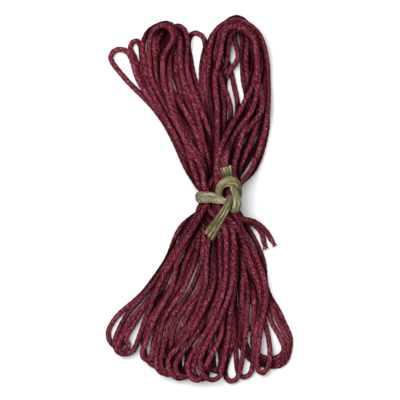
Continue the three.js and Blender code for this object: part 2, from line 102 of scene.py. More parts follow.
# A row for each loop, in the order in which the loops lie, the lowest first: the place across of
# the left leg at each station, the leftmost point, tip and rightmost point of the bend as x and
# y, and the right leg back to the waist. A station that a leg doesn't reach is None.
UPPER = (
    ((-14, -21.5, -27, -32, -33), (-33.5, 74, -27, 83, -20, 74), (-20, -19, -14, -9, -5.5)),
    ((-10, -14, -20, -26, -27), (-27.3, 73, -22.5, 80, -17.8, 74), (-17.5, -16, -9.5, -5.5, -3)),
    ((2, 1, 1, -2.5, -2.5), (-2.5, 76, 8, 86, 20.5, 72), (20.5, 22, 23.5, 21, 12.6)),
    ((1, -0.5, -0.8, 0.5, 0.5), (1, 77, 9, 85, 17.8, 76), (18, 20, 24.6, 23.5, 18.6)),
    ((-12.5, -20, -29.5, -38.7, -41.5), (-43.8, 75, -41, 79, -38.7, 74.3),
     (-38.4, -37.2, -30, -20.8, -13.5)),
    ((-16, -22.6, -32.1, -46.6, None), (-53.9, 70.2, -49.6, 74.8, -43.2, 69),
     (None, -40.5, -31, -21.5, -15)),
    ((-2, -3.2, -6.6, -11.5, -13.8), (-14.8, 77, -11.3, 82.8, -6.5, 76.5), (-7.6, -8.5, -6.7, -3.9, -2.5)),
    ((-9, -13.5, -22, -29.2, -29.5), (-30.5, 77, -24.5, 84.5, -19.9, 79), (-21, -20.8, -17.2, -11.5, -5)),
    ((0, -1.5, -4.3, -6.7, -6.3), (-5.7, 73, 7, 87, 23, 70), (23, 22.7, 22.8, 17.5, 7.5)),
    ((5, 7, 9.8, 7.3, 4.3), (3.2, 77, 8.5, 84.3, 16.5, 76), (17.8, 17.5, 20.8, 17.5, 11)),
    ((-13, -20.8, -28.7, -35.3, -36.8), (-37.8, 76, -26, 87.5, -18.9, 76),
     (-18.8, -17.5, -11.4, -7.8, -3.9)),
    ((-7, -10, -17, -26.3, -26.5), (-24.5, 78, -20, 85.8, -15.5, 79), (-15.6, -14.3, -8.6, -2.6, -0.5)),
    ((-0.5, 0, 0, -0.8, 1.2), (0.6, 78, 9.3, 90.4, 17, 78), (18.5, 20, 22, 12.5, 6)),
    ((2.5, -1, -2.6, -4.4, -4.3), (-4.3, 74, 9, 88.6, 25, 66), (None, 25.2, 25, 22.6, 17)),
    ((-9.5, -15.5, -23.5, -30.3, -31.2), (-32.3, 79, -25.5, 86.4, -21.2, 80),
     (-24, -24, -21.6, -15.2, -6.8)),
    ((3, 3.3, 3.5, 4, 9.9), (8.3, 80, 9.5, 84.5, 12, 78), (12.3, 12.6, 14.8, 9.8, 7)),
    ((1.5, 2.3, 2.8, 1.5, 4.7), (5.2, 76, 9.5, 84, 14.8, 78), (14.2, 14.8, 16.2, 11.8, 8)),
    ((3.5, 4.8, 6.3, 1.2, -1.2), (-0.2, 77, 8.5, 87, 21.2, 68), (None, 20.4, 17.5, 7.3, 3)),
    ((-12.3, -17, -25.5, -33.4, -34.4), (-34.5, 77, -28.3, 86, -22.4, 80.5),
     (-27, -27.3, -23.4, -17.3, -8.6)),
    ((-1, -0.5, -0.5, -1.8, 1), (2.3, 79, 9, 85.3, 19.6, 70), (None, 18.7, 11.7, 3.4, -0.3)),
)
LOWER = (
    ((-10, -16, -23.8, -33.6, -36.2), (-37.2, 75, -30, 84.5, -21.5, 77), (-20.3, -16.4, -8.5, -5, -3)),
    ((-19, -25.4, -35.5, -51, None), (-55.1, 68, -50.5, 74.5, -46.8, 71),
     (-46.8, -42.8, -29.5, -21.5, -13)),
    ((-11, -20.5, -28.5, -42.8, -48.2), (-49.8, 73, -47, 76.5, -44.8, 73.8),
     (-45.9, -40.2, -30.5, -22, -12.8)),
    ((5, 8, 11, 11.3, 11), (11.5, 74, 29.5, 84.3, 36.3, 75), (36, 31.9, 24.4, 22.4, 15)),
    ((8, 11.2, 12, 13, 13.2), (13.5, 72, 28.5, 82.3, 35, 74), (34.2, 29.3, 23.5, 19, 12)),
    ((10, 15.5, 18, 17.8, 17.4), (17.6, 74, 26.5, 80.3, 33, 75.5), (31.2, 26.2, 22.2, 17.2, 9.8)),
    ((-12, -19.8, -23.3, -31.3, -35.2), (-37.9, 77, -35.5, 81.1, -33, 77),
     (-31.7, -29.2, -20.6, -15.9, -9.5)),
    ((3.8, 5.8, 8, 8.7, 8.8), (9.6, 84.5, 13, 89.9, 17.5, 84.5), (18.6, 20.5, 20, 13.3, 8)),
    ((-8.8, -10.8, -16.8, -26.9, -29), (-31.1, 80.5, -27, 88, -23.5, 84), (-23, -19.8, -9.6, -6.3, -6)),
    ((-7.3, -8, -13.1, -23, -26.3), (-28.3, 81, -25.3, 88.2, -21.5, 84), (-19, -12.2, -6.7, -5.7, -4)),
    ((2, 3, 2, -1, -3), (-6.8, 81, -2, 86.2, 2, 82), (3.3, 5.2, 7, 6, 5)),
    ((3.8, 5.8, 6.8, 7.6, 8), (3.3, 87, 6.4, 91.9, 10.7, 87.2), (13.6, 14.6, 14.8, 11.2, 6.8)),
    ((-1.5, -0.8, -2.3, -9.3, -16.3), (-24.7, 81.5, -19.5, 90.2, -13.5, 84), (-14, -9.5, -4.2, -2.6, -1.5)),
    ((0, 0.8, 0.7, -5.2, -11.7), (-21.4, 84, -17, 89.6, -13, 85), (-8, -4, 1.5, 3, 2.5)),
    ((1, 1.4, 1.2, -4, -6), (-12.4, 84, -8.5, 90.9, -5, 86), (-3, 1, 4, 4.5, 3.5)),
    ((3, 4, 3, -2.3, -7.8), (-15.3, 84, -11, 91.2, -7, 86), (0.9, 2.4, 6, 6.5, 5.5)),
    ((6.8, 7.8, 6.6, 1, -4.6), (-9, 83, -3, 90.8, 2.2, 85), (5.2, 5.8, 8, 9, 7)),
    ((-14.3, -23.8, -33.8, -46.7, -51.2), (-51.8, 73.5, -47.5, 78, -40.6, 73),
     (-39.6, -36.2, -30.3, -22.3, -12.4)),
    ((11.8, 19.3, 23.8, 22.4, 20.8), (19.5, 82, 21.8, 87.7, 26.1, 79), (25.4, 23, 20.5, 15.7, 9.5)),
)

# Loops that lie under all the others and show only between them: a row as above, and the places
# of its legs in the waist as x and z.
HIDDEN_UPPER = (
    (
        ((-8, -13, -20.5, -27, -28), (-28.2, 76, -26.8, 81.5, -25.4, 76), (-25.2, -24.5, -19, -12, -7)),
        ((-5, 7), (-4, 9)),
    ),
    (
        ((-5, -9, -15.5, -21, -22), (-21.5, 79, -19, 85, -17, 79), (-17, -17.5, -15.5, -9.5, -4)),
        ((-3, 6), (-2, 8)),
    ),
    (
        ((6, 9.5, 13, 15.3, 15.6), (15.8, 74, 17.8, 80, 19.8, 74), (19.8, 19, 18.3, 15.5, 8)),
        ((4, 7), (5, 9)),
    ),
)
HIDDEN_LOWER = (
    (
        ((-16, -21.5, -27.5, -34.5, -37.5), (-37.5, 75, -30.5, 84, -25.2, 79),
         (-26.2, -23.8, -19, -13, -5)),
        ((-4, 4), (-2, 5)),
    ),
    (
        ((-3, -6, -8.7, -14.5, -20), (-19.5, 80, -17.5, 87.5, -15.5, 80), (-13.5, -7.4, -3, -2, -1)),
        ((1, 4), (3, 5)),
    ),
    (
        ((0, -1, -2, -3, -3), (-2.2, 80, -0.5, 87.5, 1.2, 80), (0.5, 1.5, 3, 4, 4)),
        ((0, 8), (2, 9)),
    ),
    (
        ((4, 8, 12, None, None), (14.3, 60, 16.5, 66, 18.6, 60), (None, None, 16.3, 13, 7)),
        ((4, 7), (5, 5)),
    ),
)

# The two ends of the cord, as points that each passes through, in millimetres.
END_ABOVE = (
    (6.9, 1.4, 13.9), (7.3, -3, 13.7), (8.6, -7, 12.9), (10.8, -10, 11.4), (14.2, -10.8, 9.2),
    (17.5, -11.6, 7.2), (20.2, -13.1, 5.4), (22.6, -15.1, 3.8), (24.6, -17.4, 2.5), (26.3, -20.1, 1.7),
    (28.1, -23.2, 1.45),
)
END_BELOW = (
    (8.4, 1.4, 9.2), (8.45, -3, 9), (9.3, -7, 8.3), (11, -10.1, 7), (14, -11.5, 5),
    (16.9, -12.7, 3.4), (19.3, -14.4, 2.3), (21.2, -16.5, 1.6), (22.3, -19, 1.45), (23, -21.7, 1.45),
    (23.8, -24.6, 1.45),
)

# The strip of raffia, as x, y, z and width along its middle, in millimetres. The band around the
# waist follows its outline instead, with y and width at each angle up from the right.
BAND_ROUND = (
    (-180, 0.4, 4.0), (-150, 0.3, 5.0), (-90, 0.3, 5.5), (-30, 0.0, 4.6), (20, -0.4, 4.2), (50, -1.6, 3.4),
    (80, -1.5, 3.4), (92, -0.2, 5.0), (105, 0.3, 5.4), (140, 0.5, 5.7), (160, 0.5, 5.2), (180, 0.4, 4.0),
)
ARCH = (
    (0.7, -1.0, 17.5, 2.8), (0.3, 1.2, 18.3, 3.4), (0.5, 3.9, 19.1, 3.4), (1.9, 6.7, 19.6, 4.2),
    (5.2, 8.2, 20.1, 5.2), (8.6, 7.6, 19.7, 4.4), (10.2, 5.2, 18.0, 3.6), (10.8, 2.6, 15.2, 3.3),
    (10.5, 0.4, 11.6, 3.4),
)
LIMB = (
    (7.3, 6.8, 18.7, 3.8), (7.8, 4.0, 19.8, 4.0), (8.9, 0.6, 20.2, 4.0), (9.4, -2.2, 20.0, 4.6),
    (9.1, -4.4, 19.4, 4.9), (8.5, -5.9, 18.8, 4.2), (7.6, -6.4, 18.1, 3.0), (6.8, -5.4, 17.5, 2.6),
    (7.0, -3.2, 17.2, 2.8),
)
TAIL_UP = (
    (6.6, 6.4, 18.5, 3.2), (5.7, 8.6, 18.3, 3.8), (5.0, 10.8, 17.8, 4.3), (4.5, 13.1, 17.1, 5.1),
    (3.8, 15.5, 16.7, 5.9),
)
TAIL_DOWN = (
    (6.9, 1.4, 18.9, 2.8), (5.4, -1.8, 18.9, 3.2), (3.3, -6.2, 18.2, 4.1), (0.4, -11.0, 15.8, 4.9),
    (-2.2, -15.2, 13.3, 5.6), (-4.6, -19.1, 11.2, 6.2),
)
# The edge of the strip that curls up where the band goes down on the left.
CURL = (
    (-8.4, 2.9, 16.6, 0.8), (-9.9, 2.5, 15.2, 0.9), (-10.7, 0.5, 14.0, 1.0), (-10.2, -1.6, 14.7, 0.9),
    (-8.6, -2.2, 16.4, 0.8),
)


# Lines.


def smooth_line(points, step):
    """A smooth line through points, as rows of positions about a step apart."""
    p = np.array(points, float)
    p = np.vstack([2 * p[0] - p[1], p, 2 * p[-1] - p[-2]])
    dense = [p[1]]
    for i in range(1, len(p) - 2):
        a, b, c, d = p[i - 1:i + 3]
        t1 = max(np.linalg.norm(b - a), TINY) ** 0.5
        t2 = t1 + max(np.linalg.norm(c - b), TINY) ** 0.5
        t3 = t2 + max(np.linalg.norm(d - c), TINY) ** 0.5
        t = np.linspace(t1, t2, 41)[1:, None]
        ab = (t1 - t) / t1 * a + t / t1 * b
        bc = (t2 - t) / (t2 - t1) * b + (t - t1) / (t2 - t1) * c
        cd = (t3 - t) / (t3 - t2) * c + (t - t2) / (t3 - t2) * d
        abc = (t2 - t) / t2 * ab + t / t2 * bc
        bcd = (t3 - t) / (t3 - t1) * bc + (t - t1) / (t3 - t1) * cd
        dense.extend((t2 - t) / (t2 - t1) * abc + (t - t1) / (t2 - t1) * bcd)
    return even(np.array(dense), step)


def even(line, step):
    """The same line with its positions evenly spread, about a step apart."""
    run = np.concatenate([[0], np.cumsum(np.linalg.norm(np.diff(line, axis=0), axis=1))])
    at = np.linspace(0, run[-1], max(2, int(run[-1] / step + 0.5)) + 1)
    return np.column_stack([np.interp(at, run, line[:, k]) for k in range(line.shape[1])])


def smoothstep(low, high, value):
    """From 0 at low to 1 at high, level at both."""
    t = np.clip((value - low) / (high - low), 0, 1)
    return t * t * (3 - 2 * t)


def waist_half_width(height):
    """The half width of the gathered waist at a height above its middle."""
    share = abs(height) / (WAIST["height"] / 2)
    return WAIST["half_width"] * max(1 - share ** WAIST["power"], 0) ** (1 / WAIST["power"])


def waist_layers():
    """The places of the cords where they pass through the waist, layer by layer, as x and z."""
    spacing = (WAIST["height"] - CORD) / (len(LAYERS) - 1)
    layers = []
    for layer, count in enumerate(LAYERS):
        z = WAIST["base"] + CORD / 2 + layer * spacing
        reach = waist_half_width((z - WAIST_MIDDLE) * GATHER["fill"]) - CORD / 2
        layers.append([(-reach + 2 * reach * i / (count - 1), z) for i in range(count)])
    return layers


def place_legs(table, layers):
    """Each loop's two places in the waist: the lowest loops take the lowest layers, and within a
    layer the legs keep their order across."""
    legs = [[row[0][0], None] for row in table for _ in (0, 1)]
    for i, row in enumerate(table):
        legs[2 * i + 1][0] = row[2][-1]
    start = 0
    for layer in layers:
        group = sorted(legs[start:start + len(layer)], key=lambda leg: leg[0])
        for leg, place in zip(group, layer):
            leg[1] = place
        start += len(layer)
    return [(legs[2 * i][1], legs[2 * i + 1][1]) for i in range(len(table))]


def plan_of(row, places, side):
    """The line of a loop seen from above."""
    out, (left_x, left_y, tip_x, tip_y, right_x, right_y), back = row
    eighth = math.sqrt(0.5)

    def leg(place, stations, limit):
        points = [(place[0], -side, 0), (place[0] * GATHER["spread"], side * GATHER["away"], 0)]
        for x, y in zip(stations, STATIONS):
            if x is not None and y < limit - LAY["step"]:
                points.append((x, side * y, 0))
        return points

    def shoulder(x, y):
        return [(x, side * y, 0), (tip_x + (x - tip_x) * eighth, side * (y + (tip_y - y) * eighth), 0)]

    return [
        *leg(places[0], out, left_y),
        *shoulder(left_x, left_y),
        (tip_x, side * tip_y, 0),
        *shoulder(right_x, right_y)[::-1],
        *leg(places[1], back[::-1], right_y)[::-1],
    ]


def lay_loop(row, places, side, laid):
    """A loop's line in space, resting on the surface and on the loops laid before it."""
    line = smooth_line(plan_of(row, places, side), LAY["step"])
    reach, rest = CORD * LAY["press"], CORD / 2
    half = len(line) / 2
    slot = np.array([places[0][1] if i < half else places[1][1] for i in range(len(line))])
    away = np.abs(line[:, 1])
    floor = rest + (slot - rest) * (1 - smoothstep(LAY["near"], LAY["far"], away))
    heights = floor.copy()
    if len(laid):
        apart = np.hypot(line[:, None, 0] - laid[None, :, 0], line[:, None, 1] - laid[None, :, 1])
        over = laid[None, :, 2] + np.sqrt(np.clip(reach ** 2 - apart ** 2, 0, None))
        heights = np.maximum(heights, np.where(apart < reach, over, 0).max(axis=1))
    heights = floor + (heights - floor) * smoothstep(LAY["near"], LAY["free"], away)
    for _ in range(LAY["settle"]):
        for i in range(1, len(heights) - 1):
            heights[i] = max(heights[i], (heights[i - 1] + heights[i + 1]) / 2)
    line[:, 2] = heights
    return line


def lay_half(table, side, layers, hidden=()):
    """The loops of one half of the skein, as lines in space, over those that are hidden."""
    laid, lines = np.zeros((0, 3)), []
    for row, places in hidden:
        line = lay_loop(row, places, side, laid)
        laid = np.vstack([laid, line[np.abs(line[:, 1]) > LAY["far"]]])
        lines.append(line)
    for row, places in zip(table, place_legs(table, layers)):
        line = lay_loop(row, places, side, laid)
        laid = np.vstack([laid, line])
        lines.append(line)
    return lines


# Meshes.


def frames_along(line):
    """The run, a level side and the upward way at each position of a line."""
    run = np.gradient(line, axis=0)
    run /= np.linalg.norm(run, axis=1)[:, None]
    side = np.cross(run, (0, 0, 1))
    side /= np.maximum(np.linalg.norm(side, axis=1), TINY)[:, None]
    return run, side, np.cross(side, run)


def add_object(name, points, faces, attributes=(), smooth=True):
    """A mesh object from points in millimetres and blocks of faces, with attributes on its points."""
    mesh = bpy.data.meshes.new(name)
    faces = [np.asarray(block, int) for block in faces]
    mesh.vertices.add(len(points))
    mesh.vertices.foreach_set("co", (np.asarray(points, float) * MM).ravel())
    corners = np.concatenate([block.ravel() for block in faces])
    totals = np.concatenate([np.full(len(block), block.shape[1]) for block in faces])
    mesh.loops.add(len(corners))
    mesh.loops.foreach_set("vertex_index", corners)
    mesh.polygons.add(len(totals))
    mesh.polygons.foreach_set("loop_start", np.concatenate([[0], np.cumsum(totals)[:-1]]))
    mesh.polygons.foreach_set("loop_total", totals)
    mesh.update(calc_edges=True)
    mesh.polygons.foreach_set("use_smooth", np.full(len(totals), smooth))
    for title, kind, values in attributes:
        layer = mesh.attributes.new(title, kind, "POINT")
        key = "vector" if kind == "FLOAT_VECTOR" else "value"
        layer.data.foreach_set(key, np.asarray(values, float).ravel())
    if mesh.validate():
        raise RuntimeError(name + " has faces that Blender had to mend")
    thing = bpy.data.objects.new(name, mesh)
    bpy.context.scene.collection.objects.link(thing)
    return thing


def rope(line, radius, lay, groove, phase, sides=16, taper=0.0):
    """A three-ply cord along a line: points, faces, place in the untwisted cord, and how near each
    point is to the crest of a ply."""
    _, side, up = frames_along(line)
    run = np.concatenate([[0], np.cumsum(np.linalg.norm(np.diff(line, axis=0), axis=1))])
    angle = np.linspace(0, 2 * math.pi, sides, endpoint=False)[None, :] + np.zeros((len(line), 1))
    twisted = angle - 2 * math.pi * run[:, None] / lay - phase
    crest = np.abs(np.cos(PLIES / 2 * twisted))
    reach = radius * (1 - groove * (1 - crest))
    reach = reach * (1 - taper * smoothstep(run[-1] - TAPER_RUN, run[-1], run)[:, None])
    points = (
        line[:, None, :]
        + side[:, None, :] * (np.cos(angle) * reach)[..., None]
        + up[:, None, :] * (np.sin(angle) * reach)[..., None]
    )
    along = run[:, None] + PATTERN_SHIFT * phase + 0 * angle
    straight = np.stack([along, np.cos(twisted) * radius, np.sin(twisted) * radius], axis=-1)
    rings = np.arange(len(line) * sides).reshape(len(line), sides)
    after = np.roll(rings, -1, axis=1)
    walls = np.stack([rings[:-1], after[:-1], after[1:], rings[1:]], axis=-1).reshape(-1, 4)
    caps = [rings[0][::-1][None, :], rings[-1][None, :]]
    return points.reshape(-1, 3), [walls, *caps], straight.reshape(-1, 3), crest.ravel()


def tops_of(points, cell=0.4, reach=3, margin=5):
    """The height of the highest point near each place, on a grid over the points."""
    low = points[:, :2].min(axis=0) - margin * cell
    place = ((points[:, :2] - low) / cell).astype(int)
    tops = np.zeros(place.max(axis=0) + margin + 1)
    np.maximum.at(tops, (place[:, 0], place[:, 1]), points[:, 2])
    steps = range(-reach, reach + 1)
    shifts = [(i, j) for i in steps for j in steps if i * i + j * j <= reach * reach + 1]
    tops = np.max([np.roll(tops, shift, axis=(0, 1)) for shift in shifts], axis=0)
    tops = np.mean([np.roll(tops, shift, axis=(0, 1)) for shift in shifts], axis=0)
    return low, cell, tops


def depth_below(points, tops):
    """How deep below the nearby tops each point lies, from 0 at the top to 1 at SHADE's depth."""
    low, cell, grid = tops
    place = np.clip((points[:, :2] - low) / cell - 0.5, 0, np.array(grid.shape) - 2)
    whole = place.astype(int)
    (i, j), (a, b) = whole.T, (place - whole).T
    level = (1 - a) * ((1 - b) * grid[i, j] + b * grid[i, j + 1])
    level += a * ((1 - b) * grid[i + 1, j] + b * grid[i + 1, j + 1])
    return np.clip((level - points[:, 2]) / SHADE["depth"], 0, 1) ** SHADE["power"]


def gather(ropes, tops=None):
    """Several cords or strips as one mesh's points, faces and attributes."""
    points, blocks, straight, crest, tone = [], {}, [], [], []
    start = 0
    for shade, (p, faces, s, c) in ropes:
        for block in faces:
            blocks.setdefault(block.shape[1], []).append(block + start)
        points.append(p)
        straight.append(s)
        crest.append(c)
        tone.append(np.full(len(p), shade))
        start += len(p)
    points = np.vstack(points)
    points[:, 2] = np.maximum(points[:, 2], 0)
    attributes = (
        ("straight", "FLOAT_VECTOR", np.vstack(straight)),
        ("crest", "FLOAT", np.concatenate(crest)),
        ("tone", "FLOAT", np.concatenate(tone)),
        # sunk steers the painted shade between the cords and under the raffia's knot.
        ("sunk", "FLOAT", depth_below(points, tops or tops_of(points))),
    )
    return points, [np.vstack(block) for block in blocks.values()], attributes


def gathered(line, radius):
    """The same line, drawn in to the waist's outline where the tie holds it."""
    half_width, half_height = WAIST["half_width"] - radius, WAIST["height"] / 2 - radius
    across = np.abs(line[:, 0]) / half_width
    upward = np.abs(line[:, 2] - WAIST_MIDDLE) / half_height
    share = (across ** WAIST["power"] + upward ** WAIST["power"]) ** (1 / WAIST["power"])
    reach = BAND["width"] / 2 + CLEARANCE
    hold = 1 - smoothstep(reach, reach + 2.5, np.abs(line[:, 1] - BAND["middle_y"]))
    draw = 1 + hold * (1 / np.maximum(share, 1) - 1)
    p = line.copy()
    p[:, 0] *= draw
    p[:, 2] = WAIST_MIDDLE + (p[:, 2] - WAIST_MIDDLE) * draw
    return p


def worked(line, rng, step=0.6):
    """A laid line as real cord takes it, with a slight waver, and never below the surface."""
    p = smooth_line(line, step)
    for _ in range(WAVER["settle"]):
        p[1:-1, 2] = (p[:-2, 2] + 2 * p[1:-1, 2] + p[2:, 2]) / 4
    waver = rng.normal(0, 1, (len(p) // WAVER["steps"] + 4, 2))
    at = np.linspace(1, len(waver) - 2, len(p))
    ease = smoothstep(WAVER["none"], WAVER["full"], np.abs(p[:, 1]))
    window = 2 * WAVER["blend"] + 1
    for k in (0, 1):
        rough = np.interp(at, range(len(waver)), waver[:, k])
        padded = np.pad(rough, WAVER["blend"], mode="edge")
        soft = np.convolve(padded, np.full(window, 1 / window), "valid")
        p[:, k] += WAVER["size"] * ease * soft
    p[:, 2] = np.maximum(p[:, 2], CORD / 2)
    return p


def stray_fibres(lines, radius, rng, count):
    """Fine fibre ends that stand off the cords, as thin three-sided threads."""
    ropes = []
    for _ in range(count):
        line = lines[rng.integers(len(lines))]
        i = rng.integers(8, len(line) - 8)
        run = line[i + 1] - line[i - 1]
        run /= np.linalg.norm(run)
        angle = rng.uniform(-0.2, math.pi + 0.2)
        side = np.cross(run, (0, 0, 1))
        side /= max(np.linalg.norm(side), TINY)
        out = side * math.cos(angle) + np.cross(side, run) * math.sin(angle)
        lean = run * rng.choice((-1, 1)) + np.cross(run, out) * rng.uniform(-0.7, 0.7)
        length = rng.uniform(*FIBRE["length"])
        lift = rng.uniform(*FIBRE["lift"])
        share = np.linspace(0, 1, 5)[:, None]
        rise = radius * FIBRE["seat"] + lift * share ** 1.6
        thread = line[i] + out * rise + lean * length * share
        thread[:, 2] = np.maximum(thread[:, 2], FIBRE["lowest"])
        made = rope(thread, FIBRE["radius"], 5.0, 0.0, 0.0, sides=3)
        ropes.append((rng.uniform(0, 1), made))
    return ropes


# Materials.


def srgb(code, alpha=1.0):
    """A hex colour as linear values."""
    values = [int(code[i:i + 2], 16) / 255 for i in (1, 3, 5)]
    return (*[v / 12.92 if v <= 0.04045 else ((v + 0.055) / 1.055) ** 2.4 for v in values], alpha)


def add_node(tree, kind, inputs=None, **settings):
    """Adds a node, sets its settings, and fills or links its inputs."""
    node = tree.nodes.new(kind)
    for key, value in settings.items():
        setattr(node, key, value)
    for key, value in (inputs or {}).items():
        if isinstance(value, bpy.types.NodeSocket):
            tree.links.new(value, node.inputs[key])
        else:
            node.inputs[key].default_value = value
    return node


def new_material(name):
    """An empty material with its shader, and the tree that they are in."""
    material = bpy.data.materials.new(name)
    material.use_nodes = True
    tree = material.node_tree
    tree.nodes.clear()
    output = add_node(tree, "ShaderNodeOutputMaterial")
    shader = add_node(tree, "ShaderNodeBsdfPrincipled")
    tree.links.new(shader.outputs["BSDF"], output.inputs["Surface"])
    return material, tree, shader


def cord_material(colours):
    """Dyed cotton laid in three plies: matt, with streaks of paler fibre that follow the twist,
    uneven dye, and painted shade in the grooves where the plies meet and between the cords."""
    material, tree, shader = new_material("dyed cotton, three-ply laid cord")
    straight = add_node(tree, "ShaderNodeAttribute", attribute_name="straight").outputs["Vector"]
    crest = add_node(tree, "ShaderNodeAttribute", attribute_name="crest").outputs["Fac"]
    tone = add_node(tree, "ShaderNodeAttribute", attribute_name="tone").outputs["Fac"]
    sunk = add_node(tree, "ShaderNodeAttribute", attribute_name="sunk").outputs["Fac"]
    # Fibres show as streaks about 1.2 mm long and 0.5 mm across, which run with the plies.
    fibres = add_node(tree, "ShaderNodeVectorMath", {0: straight, 1: (0.8, 2.2, 2.2)}, operation="MULTIPLY")
    streak = add_node(
        tree, "ShaderNodeTexNoise",
        {"Vector": fibres.outputs[0], "Scale": 1.0, "Detail": 4.0, "Roughness": 0.7},
    ).outputs["Fac"]
    # Fine down, 0.4 mm and less, breaks up the light on the plies.
    down = add_node(
        tree, "ShaderNodeTexNoise", {"Vector": straight, "Scale": 2.2, "Detail": 4.0, "Roughness": 0.7},
    ).outputs["Fac"]
    # The dye is uneven over about 12 mm.
    patch = add_node(
        tree, "ShaderNodeTexNoise", {"Vector": straight, "Scale": 0.08, "Detail": 2.0},
    ).outputs["Fac"]
    # Each coat is what steers it, the range over which it comes in, its share at the start and
    # the end of that range, and its colour.
    coats = (
        # The main dye, then streaks and flecks of fibre that took less of it.
        (streak, (0.42, 0.5), (0.0, 1.0), colours.cord_main),
        (streak, (0.57, 0.64), (0.0, 0.5), colours.cord_light),
        (down, (0.585, 0.625), (0.0, 0.95), colours.cord_light),
        (patch, (0.35, 0.7), (0.0, 0.35), colours.cord_dark),
        # Painted shade in the grooves where the plies meet.
        (crest, (0.0, 0.5), (0.8, 0.0), colours.cord_painted_shade),
        # Painted shade between the cords and on the cords below them, where little light gets down.
        (sunk, (0.3, 0.85), (0.0, 0.93), colours.cord_painted_shade),
    )
    body = srgb(colours.cord_dark)
    for steer, (low, high), (first, last), colour in coats:
        limits = {"From Min": low, "From Max": high, "To Min": first, "To Max": last}
        share = add_node(tree, "ShaderNodeMapRange", {"Value": steer, **limits}).outputs[0]
        mix = add_node(tree, "ShaderNodeMix", {0: share, 6: body, 7: srgb(colour)}, data_type="RGBA")
        body = mix.outputs[2]
    value = add_node(tree, "ShaderNodeMapRange", {"Value": tone, "To Min": 0.86, "To Max": 1.14}).outputs[0]
    lift = add_node(tree, "ShaderNodeHueSaturation", {"Color": body, "Value": value}).outputs["Color"]
    tree.links.new(lift, shader.inputs["Base Color"])
    bump = add_node(
        tree, "ShaderNodeBump", {"Height": streak, "Strength": 0.8, "Distance": 0.0004},
    ).outputs[0]
    fine = add_node(
        tree, "ShaderNodeBump", {"Height": down, "Strength": 0.5, "Distance": 0.0001, "Normal": bump},
    ).outputs[0]
    tree.links.new(fine, shader.inputs["Normal"])
    shader.inputs["Roughness"].default_value = 0.8
    shader.inputs["IOR"].default_value = 1.5
    shader.inputs["Specular IOR Level"].default_value = 0.03
    return material


def fibre_material(colours):
    """Single cotton fibres, which look paler than the cord because light passes through them."""
    material, _, shader = new_material("loose cotton fibres")
    shader.inputs["Base Color"].default_value = srgb(colours.fibre)
    shader.inputs["Roughness"].default_value = 0.7
    shader.inputs["IOR"].default_value = 1.5
    return material


def raffia_material(colours):
    """Raffia, a dried palm leaf split in strips and dyed: dry and slightly glossy, with fine
    pale and brown lines along its length, and painted shade in its folds and under the knot."""
    material, tree, shader = new_material("dried raffia leaf, dyed olive")
    straight = add_node(tree, "ShaderNodeAttribute", attribute_name="straight").outputs["Vector"]
    crest = add_node(tree, "ShaderNodeAttribute", attribute_name="crest").outputs["Fac"]
    sunk = add_node(tree, "ShaderNodeAttribute", attribute_name="sunk").outputs["Fac"]
    tone = add_node(tree, "ShaderNodeAttribute", attribute_name="tone").outputs["Fac"]
    # Veins about 0.6 mm apart run the length of the strip.
    veins = add_node(tree, "ShaderNodeVectorMath", {0: straight, 1: (0.14, 1.7, 1.0)}, operation="MULTIPLY")
    vein = add_node(
        tree, "ShaderNodeTexNoise",
        {"Vector": veins.outputs[0], "Scale": 1.0, "Detail": 5.0, "Roughness": 0.75},
    ).outputs["Fac"]
    # Dry patches, about 2 mm long, where the dye took less.
    patch = add_node(
        tree, "ShaderNodeTexNoise", {"Vector": straight, "Scale": 0.6, "Detail": 4.0, "Roughness": 0.6},
    ).outputs["Fac"]
    # Grey mottling, as on raffia that got wet and dried. It stays on the strips with the lowest
    # tone, the band and the curl.
    spots = add_node(
        tree, "ShaderNodeTexNoise", {"Vector": straight, "Scale": 1.9, "Detail": 3.0, "Roughness": 0.7},
    ).outputs["Fac"]
    dried = add_node(
        tree, "ShaderNodeMapRange", {"Value": spots, "From Min": 0.54, "From Max": 0.58, "To Max": 0.8},
    ).outputs[0]
    on_band = add_node(
        tree, "ShaderNodeMapRange",
        {"Value": tone, "From Min": 0.2, "From Max": 0.3, "To Min": 1.0, "To Max": 0.0},
    ).outputs[0]
    mottled = add_node(tree, "ShaderNodeMath", {0: dried, 1: on_band}, operation="MULTIPLY").outputs[0]
    # Coats as on the cord.
    coats = (
        (vein, (0.42, 0.5), (0.0, 1.0), colours.tie_main),
        (vein, (0.52, 0.6), (0.0, 0.9), colours.tie_light),
        (patch, (0.5, 0.6), (0.0, 0.5), colours.tie_brown),
        (mottled, (0.0, 1.0), (0.0, 1.0), colours.tie_dried),
        # Painted shade in the folds between the pleats and under the knot.
        (crest, (0.1, 0.7), (0.95, 0.0), colours.tie_painted_shade),
        (sunk, (0.35, 0.85), (0.0, 0.85), colours.tie_painted_shade),
    )
    body = srgb(colours.tie_dark)
    for steer, (low, high), (first, last), colour in coats:
        limits = {"From Min": low, "From Max": high, "To Min": first, "To Max": last}
        share = add_node(tree, "ShaderNodeMapRange", {"Value": steer, **limits}).outputs[0]
        mix = add_node(tree, "ShaderNodeMix", {0: share, 6: body, 7: srgb(colour)}, data_type="RGBA")
        body = mix.outputs[2]
    value = add_node(tree, "ShaderNodeMapRange", {"Value": tone, "To Min": 0.77, "To Max": 1.12}).outputs[0]
    lift = add_node(tree, "ShaderNodeHueSaturation", {"Color": body, "Value": value}).outputs["Color"]
    tree.links.new(lift, shader.inputs["Base Color"])
    bump = add_node(tree, "ShaderNodeBump", {"Height": vein, "Strength": 0.8, "Distance": 0.0004}).outputs[0]
    tree.links.new(bump, shader.inputs["Normal"])
    shader.inputs["Roughness"].default_value = 0.5
    shader.inputs["IOR"].default_value = 1.5
    shader.inputs["Specular IOR Level"].default_value = 0.3
    return material


def floor_material(colours):
    """A matt white studio sweep."""
    material, _, shader = new_material("matt white card")
    shader.inputs["Base Color"].default_value = srgb(colours.floor)
    shader.inputs["Roughness"].default_value = 0.95
    shader.inputs["Specular IOR Level"].default_value = 0.1
    return material


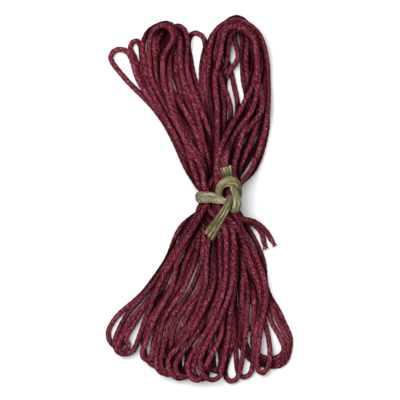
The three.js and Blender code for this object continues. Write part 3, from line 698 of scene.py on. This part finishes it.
def shared_material(maker):
    """The material that a maker gives, made once."""
    store = bpy.context.scene.skein_colours
    key = maker.__name__
    for material in bpy.data.materials:
        if material.get("maker") == key:
            return material
    material = maker(store)
    material["maker"] = key
    return material


# Settings.


class SkeinSizes(bpy.types.PropertyGroup):
    cord: bpy.props.FloatProperty(
        name="Cord across", description="Diameter of the cord over its plies",
        default=0.00274, unit="LENGTH", precision=5)
    lay: bpy.props.FloatProperty(
        name="Lay", description="Length of cord in which a ply goes round once",
        default=0.0092, unit="LENGTH", precision=4)
    groove: bpy.props.FloatProperty(
        name="Groove", description="Depth between plies as a share of the radius",
        default=0.11, subtype="FACTOR")
    fibres: bpy.props.IntProperty(
        name="Stray fibres", description="Fibre ends that stand off each half of the skein", default=700)
    pleat: bpy.props.FloatProperty(
        name="Pleat", description="Height of the raffia's pleats",
        default=0.00032, unit="LENGTH", precision=5)


class SkeinColours(bpy.types.PropertyGroup):
    cord_main: bpy.props.StringProperty(
        name="Cord", description="Main colour of the cord, in sRGB hex", default="#6d0e25")
    cord_light: bpy.props.StringProperty(
        name="Cord fibres", description="Paler fibres, in sRGB hex", default="#dca0ab")
    cord_dark: bpy.props.StringProperty(
        name="Cord shade", description="Deeper dye, in sRGB hex", default="#420815")
    fibre: bpy.props.StringProperty(
        name="Stray fibres", description="Fibre ends that stand off, in sRGB hex", default="#8c4657")
    # Painted shade, for the grooves between the plies and the gaps between the cords.
    cord_painted_shade: bpy.props.StringProperty(
        name="Cord grooves", description="Between the plies, in sRGB hex", default="#1c0208")
    tie_main: bpy.props.StringProperty(
        name="Raffia", description="Main colour of the raffia, in sRGB hex", default="#766e45")
    tie_light: bpy.props.StringProperty(
        name="Raffia veins", description="Pale veins, in sRGB hex", default="#c0b78d")
    tie_dark: bpy.props.StringProperty(
        name="Raffia shade", description="Dark lines, in sRGB hex", default="#3d3814")
    # Painted shade, for the folds between the pleats and under the knot.
    tie_painted_shade: bpy.props.StringProperty(
        name="Raffia folds", description="Between the pleats, in sRGB hex", default="#2a240b")
    tie_brown: bpy.props.StringProperty(
        name="Raffia brown", description="Dry patches, in sRGB hex", default="#8f8862")
    tie_dried: bpy.props.StringProperty(
        name="Raffia dried grey", description="Mottling on the band, in sRGB hex", default="#b9b9ab")
    floor: bpy.props.StringProperty(
        name="Floor", description="The surface below, in sRGB hex", default="#f0f0f0")


# Pieces.


def finish_piece(thing, maker, slot, *nodes):
    """Gives a piece its material and body, and hides the solids that it stands for. The slot is not used."""
    thing.data.materials.append(shared_material(maker))
    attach(thing, BODY)
    if nodes:
        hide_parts(*nodes)


class SKEIN_OT_wind_loops(bpy.types.Operator):
    """Winds the loops of the skein, with the fibres that stand off them"""
    bl_idname = "skein.wind_loops"
    bl_label = "Wind the loops"

    def execute(self, context):
        sizes = context.scene.skein_sizes
        rng = np.random.default_rng(SEEDS["loops"])
        radius, lay = sizes.cord / MM / 2, sizes.lay / MM
        layers = waist_layers()
        lower = [layer[:-1] if i in END_LAYERS else layer for i, layer in enumerate(layers)]
        halves = (
            ("upper", 1, (UPPER, layers, HIDDEN_UPPER)),
            ("lower", -1, (LOWER, lower, HIDDEN_LOWER)),
        )
        for half, side, (table, places, hidden) in halves:
            laid = lay_half(table, side, places, hidden)
            lines = [gathered(worked(line, rng), radius) for line in laid]
            ropes = []
            for line in lines:
                phase, shade, swell = rng.uniform(0, 1, 3)
                thick = radius * (0.98 + 0.05 * swell)
                made = rope(line, thick, lay, sizes.groove, 2 * math.pi * phase)
                ropes.append((shade, made))
            tops = tops_of(np.vstack([made[0] for _, made in ropes]))
            middle = len(ropes) // 2
            for part, group in (("under", ropes[:middle]), ("over", ropes[middle:])):
                thing = add_object("loops_" + half + "_" + part, *gather(group, tops))
                finish_piece(thing, cord_material, "cord", "skein")
            threads = stray_fibres(lines, radius, rng, sizes.fibres)
            finish_piece(add_object("fibres_" + half, *gather(threads)), fibre_material, "cord", "skein")
        return {"FINISHED"}


class SKEIN_OT_lay_ends(bpy.types.Operator):
    """Lays out the two loose ends of the cord, with their frayed tips"""
    bl_idname = "skein.lay_ends"
    bl_label = "Lay the loose ends"

    def execute(self, context):
        sizes = context.scene.skein_sizes
        rng = np.random.default_rng(SEEDS["ends"])
        for name, route, splay in (("cord_end_a", END_ABOVE, 0.5), ("cord_end_b", END_BELOW, 0.7)):
            line = smooth_line(route, 0.6)
            radius = sizes.cord / MM / 2
            ropes = [(0.6, rope(line, radius, sizes.lay / MM, sizes.groove, 1.0, taper=0.45))]
            ropes += frayed_tip(line, radius, splay, rng)
            thing = add_object(name + "_strand", *gather(ropes))
            finish_piece(thing, cord_material, "cord", name)
        return {"FINISHED"}


def frayed_tip(line, radius, splay, rng):
    """The three plies of a cut end, untwisted and spread over the last few millimetres."""
    run, side, _ = frames_along(line)
    start, tip = line[-FRAY["back"]], line[-1]
    plies = []
    for k, lean in enumerate((-1, 0.1, 1)):
        across = side[-1] * lean * splay
        reach = FRAY["reach"] + FRAY["varies"] * rng.uniform(0, 1)
        spread = FRAY["spread"] + rng.uniform(0, FRAY["varies"])
        points = [start + across * FRAY["root"], tip + across, tip + run[-1] * reach + across * spread]
        ply = smooth_line(points, 0.5)
        ply[:, 2] = np.maximum(ply[:, 2], FRAY["lowest"])
        made = rope(ply, radius * 0.5, FRAY["lay"], 0.1, k, sides=8, taper=0.7)
        plies.append((0.75 + 0.1 * k, made))
    return plies


# How a strip's width lies: square to its run and to the way out from the waist, square to its run
# on a level, or one way through a fold.


def across_waist(at, run):
    return np.cross(run, (at[0], 0, at[2] - WAIST_MIDDLE))


def across_level(at, run):
    return np.cross(run, (0, 0, 1))


def across_fold(at, run):
    return FOLD_WAY - run * FOLD_WAY.dot(run)


def pleats(u, length, rng, count):
    """Uneven pleats across a strip, from -1 in the folds to 1 on the ridges."""
    height = np.zeros((len(length), len(u)))
    for times, share in PLEAT_WAVES:
        knots = np.linspace(0, length[-1], max(3, int(length[-1] / 6)))
        drift = np.interp(length, knots, rng.uniform(-0.7, 0.7, len(knots)))
        start = drift[:, None] + rng.uniform(0, 6.28)
        height += share * np.cos(math.pi * count * times * u[None, :] + start)
    return np.clip(height * 1.25, -1, 1)


def strip(rows, across, count, pleat, rng, dome=0.0, fold=1.0, skew=0.0, ragged=0.0):
    """A pleated strip of raffia along rows of x, y, z and width: a closed band with soft edges,
    domed across, with painted shade of some depth in its folds, and at its far end cut at a slant and
    ragged."""
    middle = smooth_line(rows, STRIP["step"])
    line, widths = middle[:, :3], middle[:, 3:]
    run = frames_along(line)[0]
    length = np.concatenate([[0], np.cumsum(np.linalg.norm(np.diff(line, axis=0), axis=1))])
    u = np.linspace(-1, 1, STRIP["points"])
    ridge = pleats(u, length, rng, count)
    soft = RAFFIA_THICKNESS / 2 * np.sqrt(np.clip(1 - np.abs(u) ** STRIP["edge"], STRIP["thinnest"], 1))
    arched = dome * (1 - u ** 2)
    side = np.array([way / np.linalg.norm(way) for way in (across(p, r) for p, r in zip(line, run))])
    out = np.cross(side, run)
    base = line[:, None, :] + side[:, None, :] * (u * widths / 2)[..., None]
    base[-1] += run[-1] * (skew * u + rng.uniform(-ragged, ragged, len(u)))[:, None]
    upper = base + out[:, None, :] * (arched + soft + pleat * ridge)[..., None]
    lower = base + out[:, None, :] * (arched - soft + pleat * STRIP["underside"] * ridge)[..., None]
    around = np.concatenate([upper, lower[:, ::-1]], axis=1)
    size = around.shape[1]
    rings = np.arange(len(line) * size).reshape(len(line), size)
    after = np.roll(rings, -1, axis=1)
    walls = np.stack([rings[:-1], rings[1:], after[1:], after[:-1]], axis=-1).reshape(-1, 4)
    ends = []
    for ring in (rings[0], rings[-1][::-1]):
        here, there = ring[:len(u)], ring[len(u):][::-1]
        ends.append(np.stack([here[:-1], here[1:], there[1:], there[:-1]], axis=-1))
    flat = np.stack([length[:, None] + 0 * u, u * widths / 2, 0 * u + 0 * widths], axis=-1)
    straight = np.concatenate([flat, flat[:, ::-1] + (0, 0, STRIP["other_side"])], axis=1)
    # How much painted shade each point takes: none on the ridges, most in the folds, scaled by fold.
    light = 1 - fold * (1 - ridge) / 2
    crest = np.concatenate([light, light[:, ::-1]], axis=1)
    return around.reshape(-1, 3), [np.vstack([walls, *ends])], straight.reshape(-1, 3), crest.ravel()


def band_rows():
    """The middle of the band, once round the waist from under the knot."""
    rows, bend = [], 2 / WAIST["power"]
    grow = CLEARANCE + RAFFIA_THICKNESS / 2
    angles, middles, widths = np.array(BAND_ROUND).T
    for angle in np.arange(BAND_FROM, BAND_FROM - 361, -BAND_TURN):
        turn = math.radians(angle)
        x, z = math.cos(turn), math.sin(turn)
        rows.append((
            math.copysign(abs(x) ** bend, x) * (WAIST["half_width"] + grow),
            np.interp(angle, angles, middles, period=360),
            WAIST_MIDDLE + math.copysign(abs(z) ** bend, z) * (WAIST["height"] / 2 + grow),
            np.interp(angle, angles, widths, period=360),
        ))
    return rows


class SKEIN_OT_knot_tie(bpy.types.Operator):
    """Ties the strip of raffia around the waist and knots it"""
    bl_idname = "skein.knot_tie"
    bl_label = "Knot the tie"

    def execute(self, context):
        pleat = context.scene.skein_sizes.pleat / MM
        rng = np.random.default_rng(SEEDS["tie"])
        strips = [
            (0.2, strip(band_rows(), across_waist, 1.4, pleat * 0.6, rng, dome=0.5, fold=0.5)),
            (0.2, strip(CURL, across_level, 0.6, pleat * 0.3, rng, fold=0.4)),
            (0.9, strip(TAIL_UP, across_level, 3.6, pleat, rng, ragged=0.3)),
            (1.0, strip(TAIL_DOWN, across_level, 3.2, pleat, rng, skew=-1.3, ragged=0.25)),
            (0.5, strip(LIMB, across_fold, 2.6, pleat * 0.6, rng, dome=0.6, fold=0.5)),
            (0.4, strip(ARCH, across_waist, 3.4, pleat * 0.7, rng, dome=0.5, fold=0.6)),
        ]
        thing = add_object("raffia_tie", *gather(strips))
        finish_piece(thing, raffia_material, "raffia", "tie")
        return {"FINISHED"}


class SKEIN_OT_set_stage(bpy.types.Operator):
    """Sets the floor, the lights and the camera above"""
    bl_idname = "skein.set_stage"
    bl_label = "Set the stage"

    def execute(self, context):
        scene = context.scene
        size = FLOOR_HALF
        corners = [(-size, -size, 0), (size, -size, 0), (size, size, 0), (-size, size, 0)]
        floor = add_object("floor", corners, [[(0, 1, 2, 3)]], smooth=False)
        floor.data.materials.append(shared_material(floor_material))
        for name, place, across, power in LIGHTS:
            add_light(name, place, across, power)
        world = bpy.data.worlds.new("studio")
        world.use_nodes = True
        sky = world.node_tree.nodes["Background"]
        sky.inputs["Color"].default_value = (1, 1, 1, 1)
        sky.inputs["Strength"].default_value = SKY
        scene.world = world
        scene.view_settings.view_transform = "Standard"
        add_camera(scene)
        return {"FINISHED"}


def add_light(name, place, size, power):
    """A square soft light that faces the middle of the stage."""
    data = bpy.data.lights.new(name, "AREA")
    data.size, data.energy = size, power
    light = bpy.data.objects.new(name, data)
    bpy.context.scene.collection.objects.link(light)
    light.location = place
    way = -light.location
    light.rotation_mode = "QUATERNION"
    light.rotation_quaternion = way.to_track_quat("-Z", "Y")


def add_camera(scene):
    """Straight above, far enough away to look flat, with the photograph's framing."""
    data = bpy.data.cameras.new("camera")
    data.sensor_width = CAMERA["sensor"]
    data.lens = CAMERA["sensor"] * (CAMERA["height"] - CAMERA["focus"]) / CAMERA["view"]
    data.clip_start, data.clip_end = CAMERA_CLIP
    camera = bpy.data.objects.new("camera", data)
    scene.collection.objects.link(camera)
    camera.location = (CAMERA["x"] * MM, CAMERA["y"] * MM, CAMERA["height"] * MM)
    scene.camera = camera


class SKEIN_PT_panel(bpy.types.Panel):
    bl_idname = "SKEIN_PT_panel"
    bl_label = "Skein"
    bl_space_type = "VIEW_3D"
    bl_region_type = "UI"
    bl_category = "Skein"

    def draw(self, context):
        scene = context.scene
        for group in (scene.skein_sizes, scene.skein_colours):
            for key in group.__annotations__:
                self.layout.prop(group, key)
        for operator in OPERATORS:
            self.layout.operator(operator.bl_idname)


OPERATORS = (SKEIN_OT_set_stage, SKEIN_OT_lay_ends, SKEIN_OT_wind_loops, SKEIN_OT_knot_tie)
CLASSES = (SkeinSizes, SkeinColours, *OPERATORS, SKEIN_PT_panel)


def register():
    for cls in CLASSES:
        bpy.utils.register_class(cls)
    bpy.types.Scene.skein_sizes = bpy.props.PointerProperty(type=SkeinSizes)
    bpy.types.Scene.skein_colours = bpy.props.PointerProperty(type=SkeinColours)


def unregister():
    del bpy.types.Scene.skein_colours
    del bpy.types.Scene.skein_sizes
    for cls in reversed(CLASSES):
        bpy.utils.unregister_class(cls)


def main():
    register()
    bpy.ops.skein.set_stage()
    bpy.ops.skein.lay_ends()
    bpy.ops.skein.wind_loops()
    bpy.ops.skein.knot_tie()


if __name__ == "__main__":
    main()
